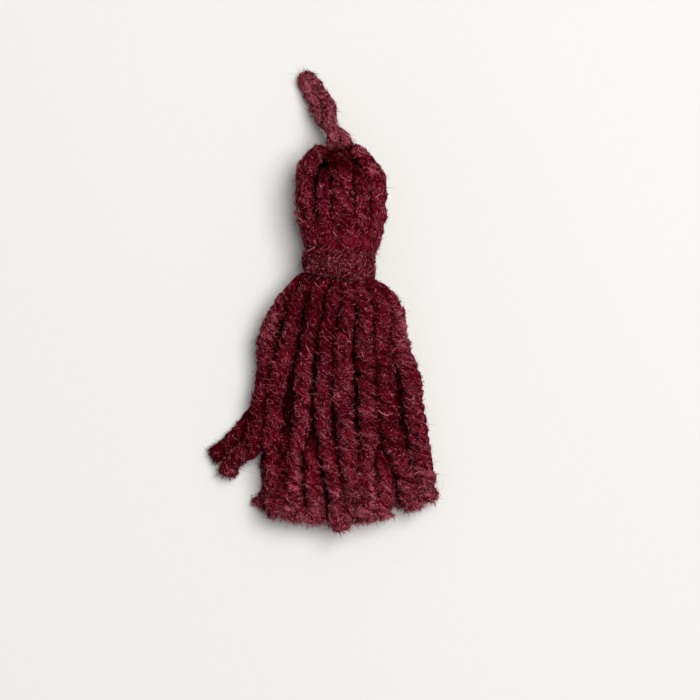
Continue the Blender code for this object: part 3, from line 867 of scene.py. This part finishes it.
def strand_sheet(shop, route, turn, grid, tone, flat=UPPER_FLATNESS, ease=1.0):
    """The sheet of one strand, which wanders a little off its route below the neck."""
    columns, step = grid
    rng = shop.rng
    line, along = evenly(tilted(route), step)
    fade = np.clip((-line[:, 1] - 6.0) / 12.0, 0, 1)
    line = line + (0.26 * fade * drift(rng, along, WANDER_REACH))[:, None] * up_side(line)
    line[:, 2] += 0.16 * fade * drift(rng, along, WANDER_REACH)
    swelling = np.interp(-line[:, 1], *np.transpose(SWELLING))
    half = ease * shop.yarn.strand_half / MM * swelling
    half = half * (1 + 0.06 * drift(rng, along, WIDTH_REACH))
    pitch = shop.yarn.strand_turn / MM
    return yarn_sheet(line, up_side(line), half, flat * half, rng, turn, pitch, columns, tone, flare=0.20)


def shaded(sheet, below, share):
    """The sheet with its tone multiplied by shares at distances below the neck."""
    light = np.interp(-sheet.points[:, 0, 1], below, share)
    return sheet._replace(tone=sheet.tone * light[:, None])


def painted_light_and_shade(sheet, tone):
    """The strand's tone with painted light and shade: the painted shade of its creases fades out at
    the hem, where the creases fill with loose fibres; the hem is drawn paler as painted light, more
    so to the right; and just below the neck the wool is drawn paler or deeper across the skirt as
    painted light and shade."""
    across, below = sheet.points[..., 0], -sheet.points[..., 1]
    tone = tone + np.interp(below, [52, 59], [0, 0.75]) * (sheet.tone - tone)
    # painted light and shade below the neck: lighter at the right and the left edge, darker left of the
    # middle
    shoulder = np.interp(across, *np.transpose(SHOULDER_LIGHT))
    shoulder *= np.interp(below, *np.transpose(SHOULDER_LIGHT_FADE))
    # painted light at the hem, stronger to the right
    hem = (0.25 + 0.18 * np.clip(across / 16.0, 0, 1)) * np.interp(below, [42, 58], [0, 1])
    return tone * (1 + shoulder) * (1 + hem)


def upper_sheets(shop):
    made = [strand_sheet(shop, over_route(s), s.turn, UPPER_GRID, s.tone, ease=s.girth) for s in OVER]
    return [*made, strand_sheet(shop, UPPER_STRAY, 0.3, UPPER_GRID, 0.84, ease=1.04)]


def lower_sheets(shop):
    made = []
    at, _, light = np.array(BETWEEN_DEPTH).T
    for s in BETWEEN:
        sheet = strand_sheet(shop, over_route(s, sunk=True), s.turn, BETWEEN_GRID, s.tone, ease=s.girth)
        made.append(shaded(sheet, at, light))
    for i, reach in enumerate(UNDER_REACH):
        place = UNDER_MIDDLE + UNDER_SPACING * (i - (len(UNDER_REACH) - 1) / 2)
        route = under_route(place, reach)
        made.append(strand_sheet(shop, route, 0.17 * i, UNDER_GRID, 0.92, LOWER_FLATNESS))
    for s in UNDER_OUTER:
        across, below = placed_line(s)
        height = under_height(np.maximum(below, UNDER_HEIGHT[0][0]))
        route = np.stack([across, -below, height], axis=1)
        sheet = strand_sheet(shop, route, 0.4, OUTER_GRID, s.tone, LOWER_FLATNESS, s.girth)
        made.append(shaded(sheet, [38, 50], [0.5, 1.0]))
    # painted shade: the lower stray strand, under the upper one, is drawn darker (tone 0.62)
    made.append(strand_sheet(shop, LOWER_STRAY, 0.1, BETWEEN_GRID, 0.62, LOWER_FLATNESS, 0.9))
    return made


class TASSEL_OT_skirt(bpy.types.Operator):
    """The cut strands below the neck, with their nap and frayed ends"""

    bl_idname = "tassel.skirt"
    bl_label = "Skirt"

    def execute(self, context):
        shop = Workshop(context, 11, "skirt_wool", "hank_wool")
        over = upper_sheets(shop)
        plain = over + lower_sheets(shop)
        # painted shade in the creases between strands, then painted light and shade across the skirt and
        # at the hem
        pairs = zip(plain, crease_shaded(plain))
        sheets = [sheet._replace(tone=painted_light_and_shade(sheet, dark.tone)) for sheet, dark in pairs]
        for name, part, fibres, down, nodes in (
            ("upper", sheets[: len(over)], 16000, 34000, ["yarn_bundle"]),
            ("lower", sheets[len(over) :], 6000, 9500, []),
        ):
            shop.yarns(f"{name}_strands", part, nodes)
            shop.fibres(f"{name}_nap", coat(part, fibres))
            shop.fibres(f"{name}_down", [(part, down, DOWN)])
        tips = Piece()
        add_tips(tips, sheets, 420, shop.rng, shop.nap)
        ends = [part_of(sheet, slice(-18, -1)) for sheet in sheets]
        shop.fibres("strand_tips", [(ends, 5500, FRAY)], tips)
        return {"FINISHED"}


def head_outline(top):
    """Points on the head's outline (along, half width, height, shift), its upper part squeezed
    so that it reaches only up to the top."""
    rows = np.array(HEAD)
    at = distance_along(rows[:, :2])
    fine = through(at, rows, np.linspace(0, at[-1], 160))
    squeeze = (top - HEAD_EQUATOR) / (HEAD_TOP - HEAD_EQUATOR)
    above = fine[:, 0] > HEAD_EQUATOR
    fine[above, 0] = HEAD_EQUATOR + (fine[above, 0] - HEAD_EQUATOR) * squeeze
    return fine


def rib_sheet(shop, rib):
    """The sheet of one rib, whose crest lies on the head's outline."""
    rng = shop.rng
    along, half, height, shift = head_outline(rib.top).T
    angle = math.radians(rib.direction)
    slim = min(1.0, rib.half / USUAL_RIB_HALF)
    thick = np.interp(along, [3, 8], [0.9, 1.75]) * slim
    rise, widen = np.gradient(along), np.gradient(half)
    steep = np.hypot(rise, widen)
    radius = np.maximum(rib.out * half - thick * rise / steep, 0.8)
    along = along + thick * widen / steep
    x = shift + radius * math.cos(angle)
    z = height + HEAD_FLATNESS * radius * math.sin(angle)
    columns, step = RIB_GRID if -20 < rib.direction < 200 else HIDDEN_RIB_GRID
    line, at = evenly(tilted(np.stack([x, along, z], axis=1))[::4], step)
    side = unit(np.array([HEAD_FLATNESS * math.sin(angle), 0.0, -math.cos(angle)]))
    line = line + (0.14 * drift(rng, at, WANDER_REACH))[:, None] * side
    broad = rib.half * np.interp(line[:, 1], [2.5, 9], [0.66, 1])
    narrow = np.interp(line[:, 1], [3, 8], [0.95, 1.85]) * slim
    pitch = 1.12 * shop.yarn.strand_turn / MM
    return yarn_sheet(line, side, broad, narrow, rng, rng.uniform(), pitch, columns, rib.tone)


def core_sheet():
    """The wool inside: rings at a share of the outline, which fill the creases of the ribs low
    on the head, where they have felted together, and lie deep higher up, where their wool is drawn
    dark as painted shade."""
    along, half, height, shift = head_outline(21.5)[::3].T
    angle = -2 * math.pi * np.arange(64) / 64
    share = np.interp(along, [6, 10, 16], [0.95, 0.91, 0.85])[:, None]
    hollow = np.clip(1 - np.abs(angle + 2 * math.pi - math.radians(135)) / math.radians(22), 0, 1)
    share = share - 0.13 * hollow * np.clip((along[:, None] - 8.0) / 5.0, 0, 1)
    radius = share * half[:, None] * (1 + 0.012 * np.cos(13 * angle + 0.8 * along[:, None]))
    x = shift[:, None] + radius * np.cos(angle)
    z = height[:, None] + HEAD_FLATNESS * radius * np.sin(angle)
    points = tilted(np.stack([x, np.broadcast_to(along[:, None], x.shape), z], axis=-1))
    tone = np.broadcast_to(np.interp(along, [7, 13], [0.95, 0.3])[:, None], x.shape)
    return Sheet(points, points * [1.0, 0.22, 1.0], tone)


class TASSEL_OT_head(bpy.types.Operator):
    """The ribbed head: the folded strands over a core darkened by painted shade, with their nap"""

    bl_idname = "tassel.head"
    bl_label = "Head"

    def execute(self, context):
        shop = Workshop(context, 23, "head_wool", "hank_wool")
        plain = [rib_sheet(shop, rib) for rib in RIBS]
        sheets = []
        # painted shade in the creases between the ribs
        for rib, sheet, dark in zip(RIBS, plain, crease_shaded(plain, reach=1.3, least=0.35)):
            up = sheet.points[..., 1]
            # painted crease shade, faded out low on the head, where the ribs have felted together
            tone = dark.tone + np.interp(up, [4, 13], [0.85, 0]) * (sheet.tone - dark.tone)
            # painted shade on the tops of the upper ribs, which turn in towards the dimple and away from
            # the light
            if 50 < rib.direction < 130:
                tone = tone * np.interp(up, [17, 24], [1, 0.45])
            sheets.append(sheet._replace(tone=tone))
        core = core_sheet()
        low = [part_of(sheet, slice(24)) for sheet in [*sheets, core]]
        shop.yarns("head_core", [core])
        shop.yarns("head_ribs", sheets)
        shop.fibres("head_nap", [*coat(sheets, 11000), (low, 4500, FELT)])
        shop.fibres("head_down", [(sheets, 24000, DOWN), (low, 13000, loosened(DOWN, 1.35))])
        return {"FINISHED"}


def binding_sheet(shop):
    """The sheet of the yarn that winds round the neck, stepping over once underneath."""
    rng = shop.rng
    turn = np.linspace(*BINDING_TURNS, 200)
    step = np.clip((turn - BINDING_STEP[0]) / (BINDING_STEP[1] - BINDING_STEP[0]), 0, 1)
    angle = -math.pi / 2 - 2 * math.pi * turn
    along = BINDING_SPACING * (1 + 0.35 * np.cos(angle)) * (0.5 - step * step * (3 - 2 * step))
    outward = np.stack([np.cos(angle), 0 * angle, np.sin(angle)], axis=1)
    centre = BINDING_MIDDLE_RADIUS * outward * [1, 1, HEAD_FLATNESS]
    centre += np.stack([0 * angle + BINDING_SHIFT, along, 0 * angle + NECK_HEIGHT], axis=1)
    columns, spacing = BINDING_GRID
    line, at = evenly(tilted(centre)[::4], spacing)
    flat = line - [0.0, 0.0, NECK_HEIGHT]
    flat[:, 1] = 0.0
    side = unit(np.cross(unit(np.gradient(line, axis=0)), unit(flat)))
    half = 1 + 0.012 * line[:, 0] + 0.06 * drift(rng, at, WIDTH_REACH)
    half = shop.yarn.binding_half / MM * half
    thick = BINDING_HALF_THICKNESS * (1 + 0.08 * drift(rng, at, WIDTH_REACH))
    return yarn_sheet(line, side, half, thick, rng, 0.1, 26.0, columns, 0.88, relief=0.08, depth=0.5)


class TASSEL_OT_binding(bpy.types.Operator):
    """The yarn wound twice round the neck, flattened and felted"""

    bl_idname = "tassel.binding"
    bl_label = "Neck binding"

    def execute(self, context):
        shop = Workshop(context, 37, "binding_wool", "binding_wool")
        sheets = [binding_sheet(shop)]
        shop.yarns("binding", sheets, ["neck_binding"])
        shop.fibres("binding_nap", coat(sheets, 5500, 1.1))
        shop.fibres("binding_down", [(sheets, 9000, loosened(DOWN, 1.2))])
        return {"FINISHED"}


def loop_sheet(shop):
    """The sheet of the doubled yarn: out along one leg, round the bight and back."""
    points, twist = np.split(np.array(LOOP), [3], axis=1)
    rough = distance_along(points)
    at = np.linspace(0, rough[-1], 60)
    middle = through(rough, points, at)
    forward = unit(np.gradient(middle, axis=0))
    level = up_side(middle)
    up = np.cross(level, forward)
    angle = through(rough, np.radians(twist), at)
    across = np.cos(angle) * level + np.sin(angle) * up
    half = LOOP_LEG_SPACING / 2 * np.interp(at / at[-1], [0.6, 1.0], [1.0, 0.50])[:, None]
    turn = np.linspace(0, math.pi, 9)[1:-1, None]
    bight = middle[-1] + half[-1] * (np.cos(turn) * across[-1] + np.sin(turn) * forward[-1])
    route = np.vstack([middle + half * across, bight, (middle - half * across)[::-1]])
    columns, spacing = LOOP_GRID
    line, along = evenly(route, spacing)
    width = shop.yarn.loop_half / MM * (1 + 0.05 * drift(shop.rng, along, WIDTH_REACH))
    form = (line, up_side(line), width, width)
    # painted light: the loop's wool is drawn lighter (tone 1.36) for the light thrown up from the floor
    # near it
    return yarn_sheet(*form, shop.rng, 0.2, 9.0, columns, 1.36, relief=0.09, depth=0.32)


class TASSEL_OT_loop(bpy.types.Operator):
    """The doubled yarn that the tassel hangs by"""

    bl_idname = "tassel.loop"
    bl_label = "Hanging loop"

    def execute(self, context):
        shop = Workshop(context, 41, "loop_wool", "loop_wool")
        sheets = [loop_sheet(shop)]
        shop.yarns("loop", sheets, ["hanging_loop"])
        shop.fibres("loop_nap", coat(sheets, 2500))
        shop.fibres("loop_down", [(sheets, 7000, DOWN)])
        return {"FINISHED"}


class TASSEL_OT_stray_hairs(bpy.types.Operator):
    """The few long pale hairs that lie loose on the yarn"""

    bl_idname = "tassel.stray_hairs"
    bl_label = "Stray hairs"

    def wool_points(self):
        """Points of the yarns that the hairs lie on, in millimetres from the neck's middle."""
        meshes = [bpy.data.objects[name].data for name in ("upper_strands", "head_ribs", "binding")]
        found = np.array([vertex.co[:] for mesh in meshes for vertex in mesh.vertices])
        return (found - put_in_place([0, 0, 0])) / MM

    def execute(self, context):
        rng = np.random.default_rng(53)
        hairs = Piece()
        wool_at = self.wool_points()
        for places in HAIRS:
            at = distance_along(np.array(places))
            path = through(at, places, np.linspace(0, at[-1], HAIR_POINTS))
            near = ((path[:, None] - wool_at[:, :2]) ** 2).sum(axis=2) < 0.4
            top = np.where(near, wool_at[:, 2], 0).max(axis=1)
            top = np.maximum(top, np.linspace(top[0], top[-1], HAIR_POINTS))
            height = top + HAIR_REST + HAIR_ARCH * np.sin(np.linspace(0, math.pi, HAIR_POINTS))
            path = np.column_stack([path, height])[None]
            hairs.add_hairs(path, np.array([HAIR_THICKNESS]), np.array([2.6]), rng)
        finish = wool("pale_hair", context.scene.tassel_wool, 1.8)
        hairs.make("stray_hairs", finish, "hank_wool")
        return {"FINISHED"}


FLOOR_HALF = 0.6
LAMP_PLACE = (0.40, 0.22, 1.22)
LAMP_SIZE = 0.80
LAMP_COLOUR = (1.0, 0.98, 0.95)
ROOM_COLOUR = (0.96, 0.97, 1.0, 1.0)
CAMERA_PLACE = (7.2 * MM, -11.8 * MM, 0.9)
SENSOR_WIDTH = 36.0


class TASSEL_OT_stage(bpy.types.Operator):
    """The pale surface, the soft light and the camera overhead"""

    bl_idname = "tassel.stage"
    bl_label = "Stage"

    def execute(self, context):
        scene = context.scene
        stage = scene.tassel_stage
        shader = Shader("floor_paper")
        place = shader.node("ShaderNodeTexCoord", {}, {}, output=3)
        grain = shader.noise(place, *PAPER)
        lighter = [*stage.floor, 1.0]
        darker = [*(0.97 * c for c in stage.floor), 1.0]
        paper = {"Base Color": shader.mix(grain, darker, lighter), "Roughness": 0.9}
        mesh = bpy.data.meshes.new("floor")
        far = FLOOR_HALF
        corners = [(-far, -far, 0), (far, -far, 0), (far, far, 0), (-far, far, 0)]
        mesh.from_pydata(corners, [], [(0, 1, 2, 3)])
        mesh.materials.append(shader.surfaced(paper))
        linked("floor", mesh)

        lamp = bpy.data.lights.new("soft_lamp", "AREA")
        lamp.shape = "SQUARE"
        lamp.size = LAMP_SIZE
        lamp.energy = stage.lamp
        lamp.color = LAMP_COLOUR
        hung = Matrix.Translation(LAMP_PLACE)
        aim = hung.translation.normalized().to_track_quat("Z", "Y")
        linked("soft_lamp", lamp).matrix_world = hung @ aim.to_matrix().to_4x4()

        world = bpy.data.worlds.new("soft_room")
        world.use_nodes = True
        background = world.node_tree.nodes["Background"]
        background.inputs["Color"].default_value = ROOM_COLOUR
        background.inputs["Strength"].default_value = stage.fill
        scene.world = world

        eye = bpy.data.cameras.new("camera")
        eye.sensor_width = SENSOR_WIDTH
        eye.lens = SENSOR_WIDTH * CAMERA_PLACE[2] / stage.frame_width
        scene.camera = linked("camera", eye)
        scene.camera.matrix_world = Matrix.Translation(CAMERA_PLACE)
        scene.view_settings.view_transform = "Standard"
        return {"FINISHED"}


class TASSEL_PT_panel(bpy.types.Panel):
    """Lists the tassel's settings and pieces."""

    bl_idname = "TASSEL_PT_panel"
    bl_label = "Wool yarn tassel"
    bl_space_type = "VIEW_3D"
    bl_region_type = "UI"
    bl_category = "Tassel"

    def draw(self, context):
        for group in SETTINGS:
            settings = getattr(context.scene, group)
            box = self.layout.box()
            for name in settings.__annotations__:
                box.prop(settings, name)
        for made in OPERATORS:
            self.layout.operator(made.bl_idname)


SETTINGS = {
    "tassel_yarn": TasselYarn,
    "tassel_wool": TasselWool,
    "tassel_nap": TasselNap,
    "tassel_stage": TasselStage,
}
OPERATORS = [
    TASSEL_OT_stage,
    TASSEL_OT_skirt,
    TASSEL_OT_head,
    TASSEL_OT_binding,
    TASSEL_OT_loop,
    TASSEL_OT_stray_hairs,
]


def register():
    for made in [*SETTINGS.values(), *OPERATORS, TASSEL_PT_panel]:
        bpy.utils.register_class(made)
    for name, group in SETTINGS.items():
        setattr(bpy.types.Scene, name, PointerProperty(type=group))


def unregister():
    for name in SETTINGS:
        delattr(bpy.types.Scene, name)
    for made in reversed([*SETTINGS.values(), *OPERATORS, TASSEL_PT_panel]):
        bpy.utils.unregister_class(made)


def main():
    register()
    bpy.ops.tassel.stage()
    bpy.ops.tassel.skirt()
    bpy.ops.tassel.head()
    bpy.ops.tassel.binding()
    bpy.ops.tassel.loop()
    bpy.ops.tassel.stray_hairs()


if __name__ == "__main__":
    main()
